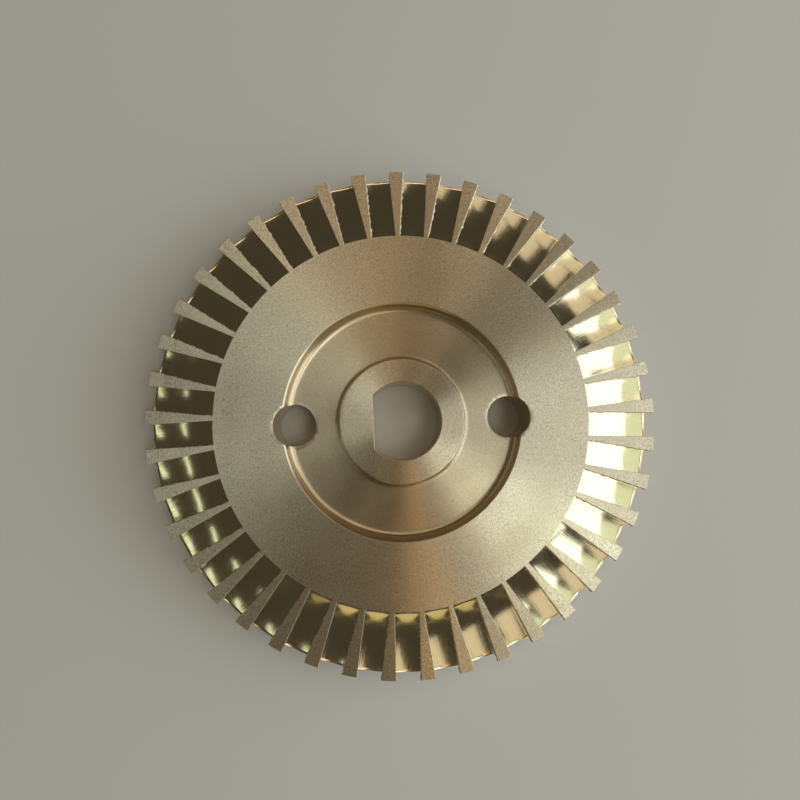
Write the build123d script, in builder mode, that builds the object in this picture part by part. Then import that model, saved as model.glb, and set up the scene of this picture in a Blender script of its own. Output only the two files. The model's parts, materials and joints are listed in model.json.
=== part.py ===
from build123d import *
from math import asin, degrees
import os

# Peripheral (regenerative) pump impeller in brass: a D-bored hub, a recessed disc
# with two through holes, a thin web with hollow flanks, and a ring of radial vanes
# that stand on both sides of the web. Both sides are alike.
# Millimetres, +Z along the shaft, origin on the shaft's axis in the middle plane.
# The two through holes lie on the X axis and the bore's flat faces -X.

# ---- Driving dimensions ----
outer_diameter = 76.5        # over the vane tips and over the web's rim
thickness = 8.8              # between the two sealing faces
vane_count = 41
vane_phase = 1.05            # degrees from +X to the middle of the first vane
slot_width = 3.65            # straight-sided gap between two vanes
root_diameter = 56.6         # circle where the gaps begin
web_rim_thickness = 1.1      # web at the outer diameter
flank_radius = 20.0          # round cutter that hollows each flank of the web

recess_diameter = 35.5       # turned pocket around the hub, in each side
recess_depth = 1.6
recess_corner_radius = 1.2   # between the pocket's floor and its wall
recess_rim_chamfer = 0.3

hub_diameter = 19.0
hub_setback = 0.2            # hub's end below the sealing face
hub_chamfer = 0.12
hub_fillet = 0.7             # between the hub and the pocket's floor

bore_diameter = 12.0         # for a 12 mm shaft with one flat
bore_across_flat = 10.3      # from the flat to the far side of the bore

through_hole_diameter = 6.3
through_hole_circle = 32.5   # diameter of the circle that both holes lie on
through_hole_count = 2

# ---- Worked out from them ----
tip_radius = outer_diameter / 2
root_radius = root_diameter / 2
half_thickness = thickness / 2
half_web_rim = web_rim_thickness / 2
pitch = 360 / vane_count
recess_radius = recess_diameter / 2
half_plate = half_thickness - recess_depth
hub_radius = hub_diameter / 2
hub_root_radius = hub_radius + hub_fillet
half_hub = half_thickness - hub_setback

os.makedirs("parts", exist_ok=True)


def save(piece, name):
    piece.label = name
    export_step(piece, f"parts/{name}.step")


# ---- Hub: the boss that the shaft drives through the flat ----
with BuildPart() as hub:
    with BuildSketch(Plane.XZ) as hub_section:
        with BuildLine() as hub_outline:
            Polyline((0, 0), (hub_root_radius, 0), (hub_root_radius, half_plate))
            CenterArc((hub_root_radius, half_plate + hub_fillet), hub_fillet, 180, 90)
            Polyline(
                (hub_radius, half_plate + hub_fillet),
                (hub_radius, half_hub - hub_chamfer),
                (hub_radius - hub_chamfer, half_hub),
                (0, half_hub),
                (0, 0),
            )
        make_face()
    revolve(axis=Axis.Z)
    mirror(about=Plane.XY)
    with BuildSketch(Plane.XY) as bore_section:
        Circle(bore_diameter / 2)
        with Locations((bore_diameter / 2 - bore_across_flat, 0)):
            Rectangle(bore_diameter, bore_diameter, align=(Align.MAX, Align.CENTER),
                      mode=Mode.SUBTRACT)
    extrude(amount=thickness, both=True, mode=Mode.SUBTRACT)

# ---- Disc: sealing faces, turned pockets and the two through holes ----
with BuildPart() as disc:
    Cylinder(root_radius, thickness)
    with Locations((0, 0, half_thickness), (0, 0, -half_thickness)):
        Cylinder(recess_radius, 2 * recess_depth, mode=Mode.SUBTRACT)
    pocket_edges = disc.edges().filter_by(
        lambda edge: edge.geom_type == GeomType.CIRCLE and abs(edge.radius - recess_radius) < 0.01
    )
    pocket_corners = pocket_edges.filter_by_position(Axis.Z, -half_plate, half_plate)
    fillet(pocket_corners, recess_corner_radius)
    pocket_rims = disc.edges().group_by(Axis.Z)[0] + disc.edges().group_by(Axis.Z)[-1]
    chamfer(pocket_rims.filter_by(lambda edge: edge.radius < recess_radius + 0.01),
            recess_rim_chamfer)
    Cylinder(hub_root_radius, thickness, mode=Mode.SUBTRACT)
    with PolarLocations(through_hole_circle / 2, through_hole_count):
        Cylinder(through_hole_diameter / 2, thickness, mode=Mode.SUBTRACT)

# ---- Web: one ring, thin at its rim, whose hollow flanks floor the buckets ----
# Each flank is one arc, steep where it leaves the face and almost level at the rim.
with BuildPart() as web_ring:
    with BuildSketch(Plane.XZ) as web_section:
        with BuildLine() as web_outline:
            upper_flank = RadiusArc(
                (root_radius, half_thickness), (tip_radius, half_web_rim), -flank_radius
            )
            Polyline(upper_flank @ 1, (tip_radius, 0), (root_radius, 0), upper_flank @ 0)
        make_face()
    revolve(axis=Axis.Z)
    mirror(about=Plane.XY)

# ---- Vanes: what the straight-sided gaps leave standing on both sides of the web ----
# A gap's side is parallel to the gap's own middle line, so a vane widens outwards.
half_angle_root = pitch / 2 - degrees(asin(slot_width / 2 / root_radius))
half_angle_tip = pitch / 2 - degrees(asin(slot_width / 2 / tip_radius))


def make_vane(angle):
    with BuildPart() as vane:
        with BuildSketch(Plane.XY.rotated((0, 0, angle))) as vane_section:
            with BuildLine() as vane_outline:
                inner = CenterArc((0, 0), root_radius, -half_angle_root, 2 * half_angle_root)
                outer = CenterArc((0, 0), tip_radius, -half_angle_tip, 2 * half_angle_tip)
                Line(inner @ 0, outer @ 0)
                Line(inner @ 1, outer @ 1)
            make_face()
        extrude(amount=half_thickness, both=True)
        add(web_ring.part, mode=Mode.SUBTRACT)
    return vane.part


save(hub.part, "hub")
save(disc.part, "disc")
save(web_ring.part, "web_ring")
for index in range(vane_count):
    save(make_vane(vane_phase + index * pitch), f"vane_{index + 1:02d}")
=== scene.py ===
import json
import math

import bpy
from mathutils import Matrix, Vector, noise
from mathutils.geometry import delaunay_2d_cdt


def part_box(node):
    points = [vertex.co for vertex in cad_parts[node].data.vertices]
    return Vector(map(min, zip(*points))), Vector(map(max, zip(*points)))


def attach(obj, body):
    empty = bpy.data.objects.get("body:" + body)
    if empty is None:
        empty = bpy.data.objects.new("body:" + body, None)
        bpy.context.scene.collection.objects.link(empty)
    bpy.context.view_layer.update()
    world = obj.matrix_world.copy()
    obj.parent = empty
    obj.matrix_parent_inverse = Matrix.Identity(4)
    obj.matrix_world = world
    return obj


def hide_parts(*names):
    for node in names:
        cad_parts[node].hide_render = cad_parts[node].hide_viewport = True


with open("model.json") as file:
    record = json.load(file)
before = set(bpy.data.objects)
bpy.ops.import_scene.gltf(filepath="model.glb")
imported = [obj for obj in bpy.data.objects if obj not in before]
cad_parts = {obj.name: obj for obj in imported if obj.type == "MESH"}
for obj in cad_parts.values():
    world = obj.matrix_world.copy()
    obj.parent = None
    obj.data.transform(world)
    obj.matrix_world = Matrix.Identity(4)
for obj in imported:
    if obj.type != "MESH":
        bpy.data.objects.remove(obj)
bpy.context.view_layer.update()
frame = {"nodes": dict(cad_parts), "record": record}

MM = 0.001
UP = Vector((0, 0, 1))

# ---------------------------------------------------------------- sizes from the frame
mounts = {mount["name"]: mount for mount in frame["record"]["mounts"]}
face_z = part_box("disc")[1].z
hub_face_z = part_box("hub")[1].z
tip_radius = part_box("web_ring")[1].x
root_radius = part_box("disc")[1].x
hub_root_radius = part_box("hub")[1].x
bore_radius = mounts["shaft_bore"]["dims"]["r_mm"] * MM
hole_radius = mounts["puller_holes"]["dims"]["hole_r_mm"] * MM
hole_circle_radius = mounts["puller_holes"]["dims"]["pcd_mm"] * MM / 2
vane_nodes = sorted(name for name in frame["nodes"] if name.startswith("vane_"))
pitch = 2 * math.pi / len(vane_nodes)
first_vane_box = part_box(vane_nodes[0])
first_vane_angle = math.atan2(sum(corner.y for corner in first_vane_box),
                              sum(corner.x for corner in first_vane_box))

# ---------------------------------------------------------------- sizes repeated from part.py
slot_width = 3.65 * MM
web_rim_half = 0.55 * MM
flank_radius = 20.0 * MM
recess_radius = 17.75 * MM
recess_depth = 1.6 * MM
recess_corner = 1.2 * MM
recess_rim_chamfer = 0.3 * MM
hub_radius = 9.5 * MM
hub_chamfer = 0.12 * MM
hub_fillet = hub_root_radius - hub_radius
flat_distance = 4.3 * MM
plate_z = face_z - recess_depth

# The flank's arc runs from the face's edge to the web's rim; its centre lies above and outside.
flank_run = tip_radius - root_radius
flank_drop = face_z - web_rim_half
flank_chord = math.hypot(flank_run, flank_drop)
flank_lean = math.sqrt(flank_radius ** 2 - flank_chord ** 2 / 4) / flank_chord
flank_centre_r = (root_radius + tip_radius) / 2 + flank_drop * flank_lean
flank_centre_z = (face_z + web_rim_half) / 2 + flank_run * flank_lean

# ---------------------------------------------------------------- fine sizes of this model only
edge_break = 0.04 * MM       # rounding of the machined edges
hole_edge = 0.07 * MM        # the same at the two through holes
edge_support = 0.03 * MM     # row of points beside an edge, which keeps its shading crisp
burr_least = 0.04 * MM       # burr along one edge of each vane
burr_extra = 0.15 * MM       # the most that its ragged part adds
burr_root = 0.22 * MM        # height of the blade's side that the burr grows out of
blade_foot = 0.15 * MM       # how far a blade's foot lies inside the web
rim_lip = 0.14 * MM          # width of the burr along the web's rim
rim_lip_height = 0.025 * MM
tip_step_radius = 35.7 * MM  # outside it the vanes' tops lie a hair lower
tip_step = 0.02 * MM
scoop_depth = 0.18 * MM      # each bucket's floor is hollow across by this much
scoop_start = 2.0 * MM       # distance from the root circle where the hollow is fully deep
hidden_reach = 0.3 * MM      # how far hidden ends go into the neighbouring piece

# ---------------------------------------------------------------- fineness of the meshes
flank_steps = 40             # rows along the web's flank
web_columns = 24             # columns for each vane's share of the web
blade_steps = 90             # rows along a blade
disc_columns = 8             # columns for each vane's share of the disc
hole_steps = 96
bore_steps = 192             # columns round the bore's round wall
flat_steps = 64              # and along its flat


# ---------------------------------------------------------------- mesh helpers
def polar(radius, angle, z):
    return Vector((radius * math.cos(angle), radius * math.sin(angle), z))


def arc(centre, radius, start, end, steps):
    """Points of an arc in a section plane, as (r, z) pairs; angles in degrees."""
    points = []
    for angle in spread(math.radians(start), math.radians(end), steps):
        points.append((centre[0] + radius * math.cos(angle), centre[1] + radius * math.sin(angle)))
    return points


def spread(start, end, steps):
    """Evenly spaced numbers from start to end, both included."""
    return [start + (end - start) * step / steps for step in range(steps + 1)]


def ragged(*place):
    """A number from 0 to 1 that wanders with its place, for burrs and worn edges."""
    return min(max(0.5 + noise.noise(place), 0.0), 1.0)


def make_object(name, vertices, faces, materials=()):
    mesh = bpy.data.meshes.new(name)
    mesh.from_pydata([tuple(vertex) for vertex in vertices], [], faces)
    mesh.validate()
    for material in materials:
        mesh.materials.append(material)
    obj = bpy.data.objects.new(name, mesh)
    bpy.context.scene.collection.objects.link(obj)
    return obj


def smooth_by_angle(obj, degrees):
    obj.data.shade_smooth()
    obj.data.set_sharp_from_angle(angle=math.radians(degrees))


def loft_faces(ring_count, ring_size, close_rings, first=0):
    """Quads between rings of vertices; each ring is closed, and so is their row if asked."""
    faces = []
    for ring in range(ring_count if close_rings else ring_count - 1):
        after = (ring + 1) % ring_count
        for column in range(ring_size):
            beside = (column + 1) % ring_size
            faces.append((first + ring * ring_size + column, first + ring * ring_size + beside,
                          first + after * ring_size + beside, first + after * ring_size + column))
    return faces


def is_level(polygon):
    return abs(polygon.normal.z) > 0.985


def is_wall(polygon):
    return abs(polygon.normal.z) < 0.3


def radial_share(polygon):
    """How much a face looks away from the axis: 1 on the outer diameter, 0 on a flat."""
    middle = polygon.center.copy()
    middle.z = 0
    return polygon.normal.dot(middle.normalized())


# ---------------------------------------------------------------- web ring
def flank_z(r):
    """Height of the web's hollow flank at radius r."""
    return flank_centre_z - math.sqrt(flank_radius ** 2 - (flank_centre_r - r) ** 2)


def scoop(r, angle):
    """How far a bucket's floor rises above the flank's arc towards the vane on either side."""
    across = r * math.sin((angle - first_vane_angle) % pitch - pitch / 2)
    share = min(abs(across) / (slot_width / 2), 1.0)
    begun = min(max((r - root_radius) / scoop_start, 0.0), 1.0)
    return scoop_depth * share ** 2 * begun ** 2 * (3 - 2 * begun)


def web_section(angle):
    """Upper half of the web's section at one heading; the burr's height wanders."""
    places = spread(root_radius, tip_radius - rim_lip, flank_steps)
    flank = [(r, flank_z(r) + scoop(r, angle)) for r in places]
    lip = rim_lip_height * (0.35 + 0.65 * ragged(40 * math.cos(angle), 40 * math.sin(angle), 0.7))
    foot = flank[-1][1]
    buried_radius = root_radius - hidden_reach
    inner = [(buried_radius, 0.0), (buried_radius, face_z - hidden_reach),
             (root_radius - 0.02 * MM, face_z - edge_break)]
    rim = [(tip_radius - 0.65 * rim_lip, foot + 0.7 * lip), (tip_radius - 0.35 * rim_lip, foot + lip),
           (tip_radius - 0.10 * rim_lip, foot + 0.6 * lip), (tip_radius, foot - 0.5 * lip),
           (tip_radius, 0.5 * web_rim_half)]
    return inner + flank[1:] + rim


def make_web_ring(materials):
    columns = len(vane_nodes) * web_columns
    rings = []
    for angle in spread(first_vane_angle, first_vane_angle + 2 * math.pi, columns)[:-1]:
        upper = web_section(angle)
        section = upper + [(r, -z) for r, z in reversed(upper[1:])]
        rings.append([polar(r, angle, z) for r, z in section])
    vertices = [point for ring in rings for point in ring]
    faces = loft_faces(len(rings), len(rings[0]), True)
    obj = make_object("web_ring_milled", vertices, faces, materials)
    for polygon in obj.data.polygons:
        on_rim = radial_share(polygon) > 0.95
        polygon.material_index = 1 if on_rim else 0
    smooth_by_angle(obj, 50)
    return obj


# ---------------------------------------------------------------- vanes
def half_width(x):
    """Half a vane's width at distance x along its middle line: its sides follow the slots."""
    return x * math.tan(pitch / 2) - slot_width / 2 / math.cos(pitch / 2)


def top_z(x):
    """Height of a vane's top, which steps down a hair near the tip."""
    past = min(max((x - tip_step_radius) / (0.1 * MM), 0.0), 1.0)
    return face_z - tip_step * past


def blade_ring(x, inset, seed):
    """Section across a blade at distance x, from its clockwise side over the top to the other.

    The slot cutter left a thin ragged burr along the clockwise top edge.
    """
    half = max(half_width(x) - inset, 0.02 * MM)
    top = top_z(x) - inset
    base = flank_z(x) - blade_foot
    burr = burr_least + burr_extra * ragged(x / MM * 2.3, seed * 7.3, 0.4) ** 2
    burr *= min(max((x - root_radius) / (0.4 * MM), 0.1), 1.0)
    wall = min(burr_root, 0.3 * (top - base))
    return [(-half, base), (-half, 0.5 * (base + top)), (-half, top - wall),
            (-half - 0.6 * burr, top - 0.7 * wall), (-half - burr, top - 0.45 * wall),
            (-half - 0.7 * burr, top - 0.2 * wall), (-half + 0.02 * MM, top - 0.03 * wall),
            (-half + 0.06 * MM, top), (-half + 0.08 * MM, top),
            (-half * 0.4, top), (half * 0.3, top), (half - edge_break - 0.02 * MM, top),
            (half - edge_break, top), (half - 0.3 * edge_break, top - 0.3 * edge_break),
            (half, top - edge_break), (half, top - edge_break - 0.02 * MM),
            (half, top - wall), (half, 0.5 * (base + top)), (half, base)]


def blade(angle, seed, side):
    """Vertices and faces of one blade, above the web for side 1 and below it for side -1."""
    stations = [(x, 0.0) for x in spread(root_radius, tip_radius - 3 * edge_break, blade_steps)]
    stations += [(tip_radius - 1.6 * edge_break, 0.0), (tip_radius - 1.2 * edge_break, 0.0),
                 (tip_radius - 0.4 * edge_break, 0.3 * edge_break), (tip_radius, edge_break)]
    rings = [blade_ring(x, inset, seed + 0.5 * side) for x, inset in stations]
    places = [x for x, inset in stations]
    buried = [(y, z - 0.04 * MM) for y, z in rings[0]]
    rings.insert(0, buried)
    places.insert(0, root_radius - hidden_reach)
    turn = Matrix.Rotation(angle, 3, "Z")
    vertices = []
    for x, ring in zip(places, rings):
        for y, z in ring:
            vertices.append(turn @ Vector((math.sqrt(x * x - y * y), y, z * side)))
    size = len(rings[0])
    faces = loft_faces(len(rings), size, False)
    faces.append(tuple(reversed(range(size))))
    faces.append(tuple(range(len(vertices) - size, len(vertices))))
    if side > 0:
        faces = [tuple(reversed(face)) for face in faces]
    return vertices, faces


def make_vane(index, materials):
    angle = first_vane_angle + index * pitch
    vertices, faces = blade(angle, index, 1)
    lower, lower_faces = blade(angle, index, -1)
    faces += [tuple(corner + len(vertices) for corner in face) for face in lower_faces]
    obj = make_object(f"{vane_nodes[index]}_blades", vertices + lower, faces, materials)
    for polygon in obj.data.polygons:
        on_tip = radial_share(polygon) > 0.7
        on_side = abs(polygon.normal.z) < 0.5
        if on_tip:
            polygon.material_index = 2
        elif on_side:
            polygon.material_index = 1
    smooth_by_angle(obj, 50)
    return obj


# ---------------------------------------------------------------- disc
def disc_section():
    """The disc's upper surface from the hub outwards, as (r, z) points."""
    corner = (recess_radius - recess_corner, plate_z + recess_corner)
    section = [(r, plate_z) for r in spread(hub_root_radius, recess_radius - recess_corner, 8)]
    section += arc(corner, recess_corner, 270, 360, 14)[1:]
    rim_radius = recess_radius + recess_rim_chamfer
    chamfer_foot = face_z - recess_rim_chamfer
    section += [(recess_radius, chamfer_foot - edge_support),
                (recess_radius + edge_support, chamfer_foot + edge_support),
                (rim_radius - edge_support, face_z - edge_support),
                (rim_radius, face_z - 0.008 * MM), (rim_radius + edge_support, face_z)]
    section += [(r, face_z) for r in spread(rim_radius + 0.1 * MM, root_radius - 0.1 * MM, 16)]
    section += [(root_radius, face_z)]
    return section


def section_lengths(section):
    """Distance along a section at each of its points, starting from its first radius."""
    lengths = [section[0][0]]
    for before, after in zip(section, section[1:]):
        lengths.append(lengths[-1] + math.dist(before, after))
    return lengths


def place_on(section, lengths, along):
    """The (r, z) point of a section at a distance along it."""
    for index in range(1, len(lengths)):
        if along <= lengths[index] or index == len(lengths) - 1:
            share = (along - lengths[index - 1]) / (lengths[index] - lengths[index - 1])
            before, after = section[index - 1], section[index]
            return (before[0] + share * (after[0] - before[0]),
                    before[1] + share * (after[1] - before[1]))


def length_at(section, lengths, radius):
    """Distance along a section where it first has a radius."""
    for index in range(1, len(section)):
        low, high = section[index - 1][0], section[index][0]
        if low <= radius <= high and high > low:
            share = (radius - low) / (high - low)
            return lengths[index - 1] + share * (lengths[index] - lengths[index - 1])
    return lengths[-1]


def hole_outline(section, lengths, centre_x, radius, steps):
    """A round hole's edge, flattened: each point's distance from the axis runs along the section."""
    points = []
    for step in range(steps):
        turn = 2 * math.pi * (step + 0.5) / steps
        x, y = centre_x + radius * math.cos(turn), radius * math.sin(turn)
        along = length_at(section, lengths, math.hypot(x, y))
        points.append(polar(along, math.atan2(y, x), 0).to_2d())
    return points


def hole_distance(x, y):
    """Distance from the middle of the nearer through hole."""
    return min(math.hypot(x - hole_circle_radius, y), math.hypot(x + hole_circle_radius, y))


def closed_edges(row):
    """Edges between the neighbours in a closed row of vertices."""
    return [(corner, row[(step + 1) % len(row)]) for step, corner in enumerate(row)]


def flat_drawing(section, lengths):
    """The disc's upper surface laid out flat: points of both holes' edges, then ring after ring."""
    points = []
    outlines = []
    cut = hole_radius + hole_edge
    for centre_x in (hole_circle_radius, -hole_circle_radius):
        outline = hole_outline(section, lengths, centre_x, cut, hole_steps)
        outlines.append((centre_x, list(range(len(points), len(points) + len(outline)))))
        points += outline
    rings = []
    columns = len(vane_nodes) * disc_columns
    for (r, z), length in zip(section, lengths):
        ring = []
        for column in range(columns):
            angle = first_vane_angle + 2 * math.pi * column / columns
            if hole_distance(r * math.cos(angle), r * math.sin(angle)) > cut + 0.04 * MM:
                ring.append(len(points))
                points.append(polar(length, angle, 0).to_2d())
        rings.append(ring)
    return points, outlines, rings


def on_disc(top, triangle):
    """Whether a triangle lies outside both holes and outside the hub's circle."""
    inner_limit = hub_root_radius * math.cos(math.pi / (len(vane_nodes) * disc_columns))
    middle = sum((top[corner] for corner in triangle), Vector()) / 3
    in_hole = hole_distance(middle.x, middle.y) < hole_radius + hole_edge
    return math.hypot(middle.x, middle.y) > inner_limit and not in_hole


def disc_sheet():
    """The disc's upper surface as a flat drawing, triangulated, then raised to its section."""
    section = disc_section()
    lengths = section_lengths(section)
    flat, outlines, rings = flat_drawing(section, lengths)
    edges = []
    for row in [outline for centre_x, outline in outlines] + [rings[0], rings[-1]]:
        edges += closed_edges(row)
    drawing = delaunay_2d_cdt([point / MM for point in flat], edges, [], 0, 1e-7)
    points, triangles = drawing[0], drawing[2]
    top = []
    for point in points:
        r, z = place_on(section, lengths, point.length * MM)
        top.append(polar(r, math.atan2(point.y, point.x), z))
    kept = [tuple(triangle) for triangle in triangles if on_disc(top, triangle)]
    return top, kept, outlines, rings[0], rings[-1]


def mirror_down(vertices, corners):
    """Adds each corner's mirror image below the middle plane and returns the new corners."""
    added = []
    for corner in corners:
        point = vertices[corner]
        added.append(len(vertices))
        vertices.append(Vector((point.x, point.y, -point.z)))
    return added


def ribbon(before, after):
    """Quads between two closed rows of vertices with the same count."""
    faces = []
    for step in range(len(before)):
        beside = (step + 1) % len(before)
        faces.append((before[step], before[beside], after[beside], after[step]))
    return faces


def hole_rows(vertices, below, centre_x, outline):
    """Rows of vertices down a through hole's wall, from its upper edge to its lower one."""
    rows = [outline]
    for drop, shrink in ((0.3, 0.7), (1.0, 1.0), (3.0, 1.0)):
        row = []
        for corner in outline:
            point = vertices[corner]
            away = Vector((point.x - centre_x, point.y, 0)).normalized()
            wall = Vector((centre_x, 0, point.z - drop * hole_edge))
            row.append(len(vertices))
            vertices.append(wall + away * (hole_radius + hole_edge * (1 - shrink)))
        rows.append(row)
    rows += [mirror_down(vertices, row) for row in reversed(rows[1:])]
    return rows + [[below[corner] for corner in outline]]


def make_disc(materials):
    vertices, upper, outlines, inner, outer = disc_sheet()
    below = mirror_down(vertices, list(range(len(vertices))))
    faces = upper + [tuple(below[corner] for corner in reversed(face)) for face in upper]
    faces += ribbon([below[corner] for corner in outer], outer)
    faces += ribbon(inner, [below[corner] for corner in inner])
    for centre_x, outline in outlines:
        rows = hole_rows(vertices, below, centre_x, outline)
        for before, after in zip(rows, rows[1:]):
            faces += ribbon(before, after)
    obj = make_object("disc_turned", vertices, faces, materials)
    face_start = recess_radius + recess_rim_chamfer + 0.02 * MM
    for polygon in obj.data.polygons:
        x, y = polygon.center.x, polygon.center.y
        in_hole = hole_distance(x, y) < hole_radius + hole_edge
        if is_wall(polygon) and in_hole:
            polygon.material_index = 2
        elif math.hypot(x, y) < face_start:
            polygon.material_index = 1 if is_level(polygon) else 3
    smooth_by_angle(obj, 40)
    return obj


# ---------------------------------------------------------------- hub
def bore_outline(angle, grow):
    """Distance from the axis to the D-shaped bore's wall, grown by a little."""
    reach = bore_radius + grow
    if math.cos(angle) < -(flat_distance + grow) / reach:
        return (flat_distance + grow) / -math.cos(angle)
    return reach


def hub_angles():
    """Column headings of the hub, with one exactly at each corner of the D."""
    corner = math.pi - math.acos(flat_distance / bore_radius)
    half_flat = bore_radius * math.sin(corner)
    flat_part = [math.pi - math.atan(y / flat_distance)
                 for y in spread(half_flat, -half_flat, flat_steps)]
    return spread(-corner, corner, bore_steps) + flat_part[1:-1]


def hub_profile():
    """The hub's side from its chamfer down the fillet and into the disc, as (r, z) points."""
    profile = [(hub_radius - hub_chamfer, hub_face_z - 0.005 * MM),
               (hub_radius - hub_chamfer + edge_support, hub_face_z - edge_support),
               (hub_radius - edge_support, hub_face_z - hub_chamfer + edge_support),
               (hub_radius, hub_face_z - hub_chamfer)]
    profile += arc((hub_root_radius, plate_z + hub_fillet), hub_fillet, 180, 270, 10)
    skirt = hub_root_radius + 0.02 * MM
    return profile + [(skirt, plate_z - 0.02 * MM), (skirt, 0.5 * plate_z)]


def hub_rows(angles):
    """Rows of points up the bore from the middle plane, across the hub's end and down its side."""
    rows = []
    for grow, z in ((0.0, 0.0), (0.0, 0.5 * hub_face_z), (0.0, hub_face_z - 3 * edge_break),
                    (0.0, hub_face_z - edge_break),
                    (0.3 * edge_break, hub_face_z - 0.3 * edge_break),
                    (edge_break, hub_face_z), (2 * edge_break, hub_face_z)):
        rows.append([polar(bore_outline(angle, grow), angle, z) for angle in angles])
    outer = hub_radius - hub_chamfer - edge_break
    for share in spread(0.15, 1.0, 8):
        row = []
        for angle in angles:
            inner = bore_outline(angle, 2 * edge_break)
            row.append(polar(inner + share * (outer - inner), angle, hub_face_z))
        rows.append(row)
    return rows + [[polar(r, angle, z) for angle in angles] for r, z in hub_profile()]


def make_hub(materials):
    rows = hub_rows(hub_angles())
    rows += [[Vector((point.x, point.y, -point.z)) for point in row] for row in reversed(rows[1:])]
    vertices = [point for row in rows for point in row]
    faces = [tuple(reversed(face)) for face in loft_faces(len(rows), len(rows[0]), True)]
    obj = make_object("hub_turned", vertices, faces, materials)
    for polygon in obj.data.polygons:
        reach = math.hypot(polygon.center.x, polygon.center.y)
        in_bore = is_wall(polygon) and reach < bore_radius + edge_break
        on_bevel = not is_level(polygon) and reach > hub_radius - hub_chamfer
        if reach > hub_radius:
            polygon.material_index = 2
        elif in_bore or on_bevel:
            polygon.material_index = 1
    smooth_by_angle(obj, 40)
    return obj


# ---------------------------------------------------------------- node helper
class Graph:
    """Short calls that add nodes to one tree; an input is a number, a tuple or a socket."""

    def __init__(self, owner):
        owner.use_nodes = True
        self.tree = owner.node_tree
        self.tree.nodes.clear()

    def add(self, kind, inputs=None, output=0, **settings):
        node = self.tree.nodes.new("ShaderNode" + kind)
        for name, value in settings.items():
            setattr(node, name, value)
        for key, value in (inputs or {}).items():
            if isinstance(value, bpy.types.NodeSocket):
                self.tree.links.new(value, node.inputs[key])
            else:
                node.inputs[key].default_value = value
        return node.outputs[output] if node.outputs else node

    def math(self, operation, first, second=0.0):
        return self.add("Math", {0: first, 1: second}, operation=operation)

    def ease(self, value, low, high, start, end):
        """Start below low, end above high, and a smooth rise between them."""
        return self.add("MapRange", {"Value": value, "From Min": low, "From Max": high,
                                     "To Min": start, "To Max": end},
                        interpolation_type="SMOOTHSTEP")

    def mix(self, factor, first, second):
        return self.add("Mix", {0: factor, 6: first, 7: second}, output=2, data_type="RGBA")

    def noise(self, vector, detail, roughness=0.5):
        return self.add("TexNoise", {"Vector": vector, "Scale": 1.0, "Detail": detail,
                                     "Roughness": roughness})


# ---------------------------------------------------------------- brass
class Brass(Graph):
    """One finish of the same brass, with tool marks that follow the part's own axis."""

    def __init__(self, name):
        self.material = bpy.data.materials.new(name)
        super().__init__(self.material)
        place = self.add("TexCoord", output="Object")
        self.place = self.add("VectorMath", {0: place, "Scale": 1 / MM}, operation="SCALE")
        flat = self.add("VectorMath", {0: self.place, 1: (1, 1, 0)}, operation="MULTIPLY")
        self.radius = self.add("VectorMath", {0: flat}, output="Value", operation="LENGTH")
        around = self.add("VectorMath", {0: flat}, operation="NORMALIZE")
        split = self.add("SeparateXYZ", {0: around}).node
        self.around_x, self.around_y = split.outputs[0], split.outputs[1]
        self.height = self.add("SeparateXYZ", {0: self.place}, output=2)

    def marks(self, across, around, tall=None):
        """Noise space with so many cells per mm along the radius and so many per radian around."""
        run = self.math("MULTIPLY", self.radius, across)
        rise = self.math("MULTIPLY", self.height, across if tall is None else tall)
        return self.add("CombineXYZ", {0: self.math("ADD", run, rise),
                                       1: self.math("MULTIPLY", self.around_x, around),
                                       2: self.math("MULTIPLY", self.around_y, around)})

    def groove_tangent(self, around):
        """The direction that the gloss is drawn out in, which is across the tool marks.

        Marks that run around the axis draw it out along the radius, and the others around it.
        """
        split = self.add("SeparateXYZ", {0: self.place}).node
        back = self.math("MULTIPLY", split.outputs[1], -1.0)
        circle = self.add("CombineXYZ", {0: back, 1: split.outputs[0]})
        if not around:
            return circle
        normal = self.add("TexCoord", output="Normal")
        return self.add("VectorMath", {0: circle, 1: normal}, operation="CROSS_PRODUCT")

    def height_map(self, layers):
        """Adds noise layers into one height in mm; each layer is (noise, depth in mm)."""
        total = None
        for layer, depth in layers:
            part = self.math("MULTIPLY", layer, depth)
            total = part if total is None else self.math("ADD", total, part)
        return total

    def finish(self, colour, roughness, anisotropy, tangent, height):
        shader = {"Base Color": colour, "Metallic": 1.0, "Roughness": roughness,
                  "Anisotropic": anisotropy, "Tangent": tangent,
                  "Normal": self.add("Bump", {"Strength": 1.0, "Distance": MM, "Height": height})}
        self.add("OutputMaterial", {0: self.add("BsdfPrincipled", shader)})
        return self.material


BRASS_LIGHT = (0.86, 0.75, 0.55, 1)
BRASS_MID = (0.80, 0.68, 0.47, 1)
BRASS_DULL = (0.60, 0.49, 0.33, 1)
BRASS_GOLD = (0.87, 0.73, 0.42, 1)
# dark brass that is painted shade on the pocket's steep wall, not a colour of the metal
BRASS_WALL_SHADE = (0.62, 0.48, 0.29, 1)
BRASS_GRAIN = (0.44, 0.37, 0.26, 1)
BRASS_SHINE = (0.98, 0.89, 0.69, 1)


def satin_brass():
    """Sealing faces and vane tops: fine speckle, drawn out a little along faint circles."""
    brass = Brass("brass_satin")
    speckle = brass.noise(brass.marks(5.5, 125.0), 2.0, 0.6)
    circles = brass.noise(brass.marks(11.0, 20.0), 2.0, 0.6)
    cloud = brass.noise(brass.marks(0.25, 4.0), 2.0)
    tone = brass.mix(brass.ease(speckle, 0.32, 0.62, 0.0, 1.0), BRASS_GRAIN, BRASS_SHINE)
    colour = brass.mix(brass.ease(cloud, 0.3, 0.7, 0.35, 0.6), tone, BRASS_MID)
    height = brass.height_map([(speckle, 0.004), (circles, 0.006)])
    return brass.finish(colour, brass.ease(cloud, 0.3, 0.7, 0.30, 0.33), 1.0,
                        brass.groove_tangent(True), height)


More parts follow.
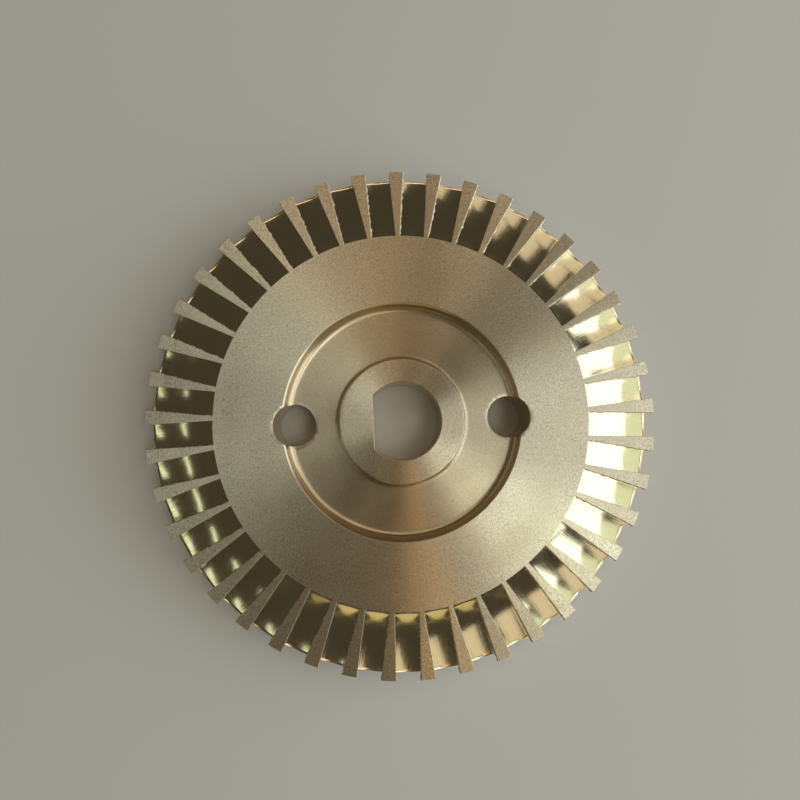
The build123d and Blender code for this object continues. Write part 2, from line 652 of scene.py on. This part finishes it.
def pocket_brass():
    """The pocket's turned floor: an even fine grain, with faint turning circles."""
    brass = Brass("brass_pocket")
    circles = brass.noise(brass.marks(7.0, 6.0), 3.0, 0.6)
    speckle = brass.noise(brass.marks(5.0, 65.0), 2.0, 0.6)
    cloud = brass.noise(brass.marks(0.3, 3.0), 2.0)
    grain = brass.mix(brass.ease(speckle, 0.3, 0.7, 0.0, 1.0), BRASS_DULL, BRASS_MID)
    colour = brass.mix(brass.ease(circles, 0.3, 0.7, 0.1, 0.4), grain, BRASS_DULL)
    height = brass.height_map([(circles, 0.0005), (speckle, 0.0015)])
    return brass.finish(colour, brass.ease(cloud, 0.3, 0.7, 0.29, 0.33), 0.97,
                        brass.groove_tangent(True), height)


def hub_brass():
    """The hub: coarser and duller turning marks than the pocket's, with dark grains."""
    brass = Brass("brass_hub")
    circles = brass.noise(brass.marks(7.0, 5.0), 3.0, 0.7)
    speckle = brass.noise(brass.marks(6.0, 22.0), 2.0, 0.6)
    grain = brass.mix(brass.ease(speckle, 0.3, 0.6, 0.0, 1.0), BRASS_DULL, BRASS_LIGHT)
    colour = brass.mix(brass.ease(circles, 0.35, 0.65, 0.1, 0.5), grain, BRASS_DULL)
    height = brass.height_map([(circles, 0.0015), (speckle, 0.002)])
    return brass.finish(colour, brass.ease(circles, 0.3, 0.7, 0.29, 0.35), 0.97,
                        brass.groove_tangent(True), height)


def milled_brass():
    """Bucket floors and vane sides: bright, with fine streaks along the cutter's path."""
    brass = Brass("brass_milled")
    streaks = brass.noise(brass.marks(0.12, 170.0, 6.0), 3.0, 0.6)
    ripple = brass.noise(brass.marks(0.8, 150.0, 3.0), 2.0)
    colour = brass.mix(brass.ease(streaks, 0.35, 0.65, 0.0, 1.0), BRASS_MID, BRASS_GOLD)
    height = brass.height_map([(streaks, 0.0025), (ripple, 0.0080)])
    return brass.finish(colour, brass.ease(streaks, 0.3, 0.7, 0.12, 0.20), 0.6,
                        brass.groove_tangent(False), height)


def corner_brass():
    """The pocket's round corner, wall and rim bevel; the steep wall below the rim is mixed towards a
    dark brass, which is painted shade.
    """
    brass = Brass("brass_corner")
    circles = brass.noise(brass.marks(6.0, 1.5), 3.0, 0.6)
    low = brass.ease(brass.height, face_z / MM - 0.25, face_z / MM - 0.1, 1.0, 0.0)
    steep = brass.ease(brass.radius, recess_radius / MM - 0.85, recess_radius / MM - 0.35, 0.0, 1.0)
    flat_tone = brass.mix(brass.ease(circles, 0.35, 0.65, 0.0, 1.0), BRASS_DULL, BRASS_MID)
    # painted shade: the steep wall under the rim bevel is mixed towards the dark wall-shade colour
    colour = brass.mix(brass.math("MULTIPLY", low, steep), flat_tone, BRASS_WALL_SHADE)
    height = brass.height_map([(circles, 0.001)])
    return brass.finish(colour, brass.ease(circles, 0.3, 0.7, 0.26, 0.32), 0.7,
                        brass.groove_tangent(True), height)


def drilled_brass():
    """Walls of the bore and the two through holes, and the hub's bevel: smooth, faint circles."""
    brass = Brass("brass_drilled")
    circles = brass.noise(brass.marks(0.1, 2.0, 9.0), 2.0, 0.6)
    colour = brass.mix(brass.ease(circles, 0.35, 0.65, 0.0, 1.0), BRASS_DULL, BRASS_MID)
    height = brass.height_map([(circles, 0.002)])
    return brass.finish(colour, brass.ease(circles, 0.3, 0.7, 0.16, 0.24), 0.0,
                        brass.groove_tangent(True), height)


def rim_brass():
    """The turned outer diameter: circles one above another on the web's rim and vane tips."""
    brass = Brass("brass_rim")
    circles = brass.noise(brass.marks(8.0, 2.0), 3.0, 0.7)
    speckle = brass.noise(brass.marks(3.0, 90.0), 2.0)
    colour = brass.mix(brass.ease(circles, 0.35, 0.65, 0.0, 1.0), BRASS_MID, BRASS_LIGHT)
    height = brass.height_map([(circles, 0.008), (speckle, 0.003)])
    return brass.finish(colour, brass.ease(speckle, 0.3, 0.7, 0.26, 0.34), 0.8,
                        brass.groove_tangent(True), height)


# ---------------------------------------------------------------- light
ROOM = (0.055, 0.050, 0.040, 1)
PALE_BACKDROP = (0.36, 0.35, 0.33, 1)
PALE_FLOOR = (0.80, 0.775, 0.735, 1)
light_distance = 0.8         # metres from the part to every soft box


def make_world():
    """A dim, even, slightly warm room, and a pale backdrop that only the camera sees."""
    world = bpy.data.worlds.new("studio")
    bpy.context.scene.world = world
    room = Graph(world)
    seen = room.add("LightPath", output="Is Camera Ray")
    shown = room.mix(seen, ROOM, PALE_BACKDROP)
    room.add("OutputWorld", {0: room.add("Background", {0: shown})})


def soft_box(name, heading, elevation, width, height, tint, radiance):
    """A rectangular light that faces the part; the camera doesn't see it.

    Heading and elevation are in degrees, width and height in metres. Radiance is how bright its
    surface looks in a reflection, and four times radiance times area is the power that gives it.
    """
    data = bpy.data.lights.new(name, "AREA")
    data.shape = "RECTANGLE"
    data.size = width
    data.size_y = height
    data.color = tint
    data.energy = 4 * radiance * width * height
    box = bpy.data.objects.new(name, data)
    bpy.context.scene.collection.objects.link(box)
    level = light_distance * math.cos(math.radians(elevation))
    rise = light_distance * math.sin(math.radians(elevation))
    box.location = polar(level, math.radians(heading), rise)
    box.rotation_euler = box.location.to_track_quat("Z", "Y").to_euler()
    box.visible_camera = False


def make_lights():
    """The largest boxes are on the right, warm ones in front and behind, two narrow on the left."""
    cool, neutral, green = (0.80, 0.89, 1.0), (1.0, 0.98, 0.98), (0.84, 1.0, 0.86)
    warm, orange, gold = (1.0, 0.78, 0.56), (1.0, 0.62, 0.32), (1.0, 0.86, 0.45)
    beige = (1.0, 0.92, 0.78)
    soft_box("right_low", -8, 20, 0.90, 0.52, cool, 1.7)
    soft_box("right_middle", -6, 48, 0.66, 0.26, green, 0.75)
    soft_box("right_high", -16, 71, 0.40, 0.20, neutral, 1.5)
    soft_box("right_front_high", -36, 71, 0.14, 0.20, green, 1.8)
    soft_box("right_back", 36, 30, 0.32, 0.30, beige, 0.55)
    soft_box("right_back_high", 44, 50, 0.42, 0.24, beige, 0.55)
    soft_box("front_right", -62, 42, 0.32, 0.40, beige, 0.60)
    soft_box("front_high", -79, 62, 0.09, 0.18, orange, 1.6)
    soft_box("front_low", 268, 7, 0.70, 0.16, gold, 0.5)
    soft_box("back_high", 90, 65, 0.50, 0.15, warm, 1.15)
    soft_box("left_high", 205, 54, 0.45, 0.065, green, 1.1)
    soft_box("left_low", 196, 31, 0.40, 0.035, green, 1.3)


# ---------------------------------------------------------------- floor
def make_floor():
    """A round pale floor, level with the part's underside, that ends short of the soft boxes."""
    reach = 0.94 * light_distance
    corners = [polar(reach, angle, -face_z) for angle in spread(0, 2 * math.pi, 96)[:-1]]
    obj = make_object("floor", corners, [tuple(range(len(corners)))])
    material = bpy.data.materials.new("pale_floor")
    paint = Graph(material)
    shader = paint.add("BsdfPrincipled", {"Base Color": PALE_FLOOR, "Roughness": 0.9,
                                          "Specular IOR Level": 0.1})
    paint.add("OutputMaterial", {0: shader})
    obj.data.materials.append(material)


# ---------------------------------------------------------------- camera
camera_place = Vector((-3.38, -2.22, 97.6)) * MM    # above the upper sealing face
camera_target = Vector((-0.21, 3.18, 0.0)) * MM     # on that face
camera_turn = math.radians(2.45)                    # clockwise, seen from above
camera_lens = 29.25                                 # mm, for a frame 36 mm wide


def make_camera():
    """Nearly overhead, a little to the lower left of the part's axis."""
    data = bpy.data.cameras.new("camera")
    data.sensor_width = 36
    data.lens = camera_lens
    data.clip_start = 0.001
    camera = bpy.data.objects.new("camera", data)
    bpy.context.scene.collection.objects.link(camera)
    eye = camera_place + UP * face_z
    aim = camera_target + UP * face_z
    back = (eye - aim).normalized()
    picture_up = Vector((math.sin(camera_turn), math.cos(camera_turn), 0))
    across = picture_up.cross(back).normalized()
    upright = back.cross(across)
    rotation = Matrix((across, upright, back)).transposed()
    camera.matrix_world = Matrix.Translation(eye) @ rotation.to_4x4()
    bpy.context.scene.camera = camera


# ---------------------------------------------------------------- put together
def place_piece(obj, node):
    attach(obj, "root")
    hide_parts(node)


make_world()
make_lights()
make_camera()
make_floor()

satin = satin_brass()
pocket = pocket_brass()
milled = milled_brass()
corner = corner_brass()
drilled = drilled_brass()
rim = rim_brass()

place_piece(make_hub([hub_brass(), drilled, pocket]), "hub")
place_piece(make_disc([satin, pocket, drilled, corner]), "disc")
place_piece(make_web_ring([milled, rim]), "web_ring")
for index, node in enumerate(vane_nodes):
    place_piece(make_vane(index, [satin, milled, rim]), node)

bpy.context.scene.view_settings.view_transform = "Standard"
